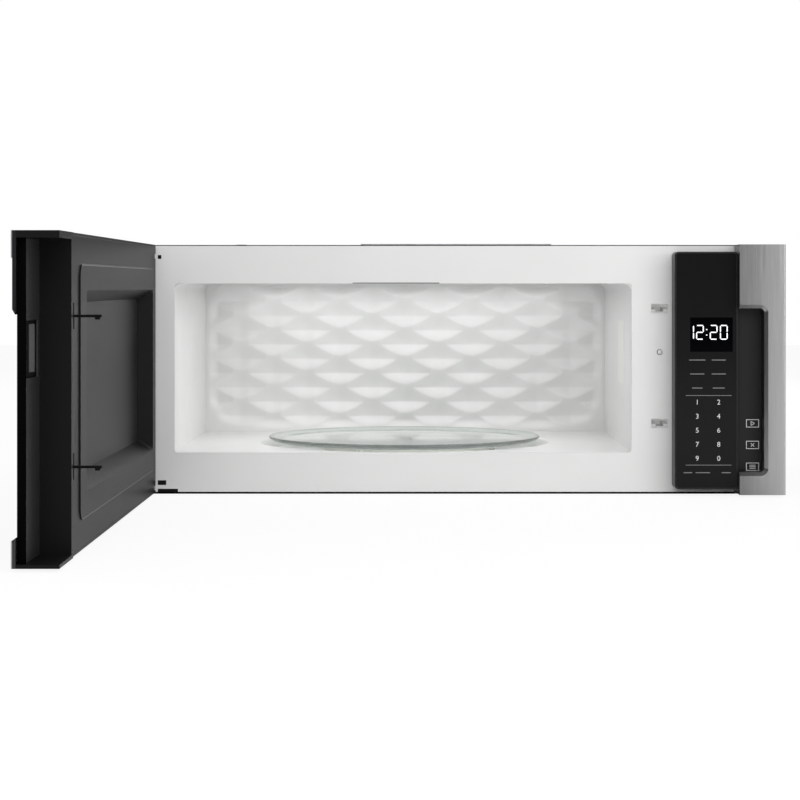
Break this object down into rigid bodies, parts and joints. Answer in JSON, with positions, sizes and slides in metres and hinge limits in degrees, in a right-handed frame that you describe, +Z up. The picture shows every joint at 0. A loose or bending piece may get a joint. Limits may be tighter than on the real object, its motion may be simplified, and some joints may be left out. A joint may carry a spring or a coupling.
{
  "type": "over the range microwave oven",
  "caption": "Low, wide over-the-range microwave oven with a left-hung full-width door, key panel, finger-pocket column, glass turntable, hood blower, filters and lamps.",
  "frame": {"origin": "middle of the back face's lower edge, in the plane of the wall face", "axes": "+X to the right seen from the front, +Y towards the wall, +Z up; the front faces -Y and the door stands open along -Y"},
  "size_m": [0.7812, 1.1246, 0.3027],
  "materials": {
    "case_paint": "satin black paint",
    "frame_enamel": "pale grey enamel, semi-gloss",
    "cavity_enamel": "pale grey enamel, satin",
    "stainless": "brushed along its length",
    "door_glass": "black glass, polished",
    "door_black": "satin black moulding",
    "window_glass": "dark perforated screen behind clear sheet",
    "tray_glass": "clear glass with a faint green edge",
    "panel_black": "black moulding",
    "panel_glass": "black glass, polished",
    "display": "dark display window",
    "pocket_black": "satin black moulding",
    "galvanised": "zinc coated sheet",
    "steel_bright": "bright plated steel",
    "hinge_steel": "zinc plated plate",
    "bush_plastic": "natural acetal",
    "drive_plastic": "natural white moulding",
    "latch_plastic": "black acetal",
    "bracket_plastic": "pale grey moulding",
    "switch_plastic": "red switch body",
    "filter_mesh": "expanded mesh",
    "lens": "frosted",
    "lamp_body": "white moulding",
    "mica": "pressed mica sheet",
    "core_steel": "varnished laminations",
    "copper": "enamelled copper windings",
    "fins": "pressed fins",
    "board": "green laminate with parts",
    "can": "drawn can",
    "diode_black": "moulded body",
    "motor_steel": "zinc plated housing",
    "fan_plastic": "dark moulding",
    "rubber": "moulded bushing"
  },
  "bodies": {
    "root": {"back_plate": "galvanised", "base_plate": "case_paint", "blower_housing": "galvanised", "blower_motor": "motor_steel", "case_screws": "steel_bright", "case_wrap": "case_paint", "cavity_back_wall": "cavity_enamel", "cavity_floor": "cavity_enamel", "cavity_lamp": "lamp_body", "cavity_wrap": "cavity_enamel", "control_board": "board", "cooling_fan_frame": "fan_plastic", "cooling_fan_motor": "motor_steel", "cord_bushing": "rubber", "display_module": "display", "exhaust_adapter": "galvanised", "exhaust_duct": "galvanised", "front_frame": "frame_enamel", "high_voltage_capacitor": "can", "high_voltage_diode": "diode_black", "hinge_bracket_lower": "hinge_steel", "hinge_bracket_upper": "hinge_steel", "hood_lamps": "lamp_body", "interlock_switches": "switch_plastic", "lamp_lenses": "lens", "latch_bracket": "bracket_plastic", "line_filter_board": "board", "magnetron_anode": "fins", "magnetron_yoke": "galvanised", "panel_glass": "panel_glass", "panel_housing": "panel_black", "pocket_liner": "pocket_black", "thermal_cutouts": "steel_bright", "transformer_core": "core_steel", "transformer_windings": "copper", "trim_column": "stainless", "turntable_motor": "motor_steel", "waveguide": "galvanised", "waveguide_cover": "mica"},
    "door": {"door_skin": "stainless", "door_glass": "door_glass", "door_frame": "door_black", "hinge_bushes": "bush_plastic", "door_inner_cover": "door_black", "door_window": "window_glass", "door_choke": "galvanised", "door_end_cover": "door_black", "latch_spring": "steel_bright"},
    "latch": {"latch_bar": "latch_plastic"},
    "turntable": {"glass_tray": "tray_glass", "drive_coupler": "drive_plastic"},
    "roller_carrier": {"roller_ring": "drive_plastic"},
    "roller_a": {"roller_1": "drive_plastic"},
    "roller_b": {"roller_2": "drive_plastic"},
    "roller_c": {"roller_3": "drive_plastic"},
    "cooling_fan": {"cooling_fan_blade": "fan_plastic"},
    "blower": {"blower_wheel": "fan_plastic"},
    "damper": {"exhaust_damper": "galvanised"},
    "filter_left": {"grease_filter_left": "filter_mesh"},
    "filter_right": {"grease_filter_right": "filter_mesh"}
  },
  "joints": [
    {"name": "door_hinge", "type": "hinge", "parent": "root", "child": "door", "pos_m": [-0.37, -0.4305, 0.149], "axis": [0, 0, 1], "range_deg": [-8, 90]},
    {"name": "latch_slide", "type": "slide", "parent": "door", "child": "latch", "axis": [0, 0, 1], "range_m": [0, 0.004], "stiffness_N_per_m": 200, "springref_m": -0.004, "deforming": ["latch_spring"]},
    {"name": "turntable_spin", "type": "hinge", "parent": "root", "child": "turntable", "pos_m": [-0.0681, -0.228, 0.0492], "axis": [0, 0, 1], "continuous": true},
    {"name": "ring_spin", "type": "hinge", "parent": "root", "child": "roller_carrier", "pos_m": [-0.0681, -0.228, 0.04305], "axis": [0, 0, 1], "continuous": true},
    {"name": "roller_a_spin", "type": "hinge", "parent": "roller_carrier", "child": "roller_a", "pos_m": [0.0439, -0.228, 0.04305], "axis": [1, 0, 0], "continuous": true},
    {"name": "roller_b_spin", "type": "hinge", "parent": "roller_carrier", "child": "roller_b", "pos_m": [-0.1241, -0.13101, 0.04305], "axis": [-0.5, 0.866, 0], "continuous": true},
    {"name": "roller_c_spin", "type": "hinge", "parent": "roller_carrier", "child": "roller_c", "pos_m": [-0.1241, -0.32499, 0.04305], "axis": [-0.5, -0.866, 0], "continuous": true},
    {"name": "cooling_fan_spin", "type": "hinge", "parent": "root", "child": "cooling_fan", "pos_m": [0.29135, -0.13, 0.06], "axis": [0, 1, 0], "continuous": true},
    {"name": "blower_spin", "type": "hinge", "parent": "root", "child": "blower", "pos_m": [0.29135, -0.062, 0.2337], "axis": [0, 1, 0], "continuous": true},
    {"name": "damper_swing", "type": "hinge", "parent": "root", "child": "damper", "pos_m": [0, -0.02475, 0.2989], "axis": [-1, 0, 0], "range_deg": [0, 80]},
    {"name": "filter_left_drop", "type": "slide", "parent": "root", "child": "filter_left", "axis": [0, 0, 1], "range_m": [-0.04, 0]},
    {"name": "filter_right_drop", "type": "slide", "parent": "root", "child": "filter_right", "axis": [0, 0, 1], "range_m": [-0.04, 0]}
  ],
  "couplings": [
    {"joint": "ring_spin", "follows": "turntable_spin", "ratio": 0.5},
    {"joint": "roller_a_spin", "follows": "turntable_spin", "ratio": -9.5726},
    {"joint": "roller_b_spin", "follows": "turntable_spin", "ratio": -9.5726},
    {"joint": "roller_c_spin", "follows": "turntable_spin", "ratio": -9.5726}
  ]
}
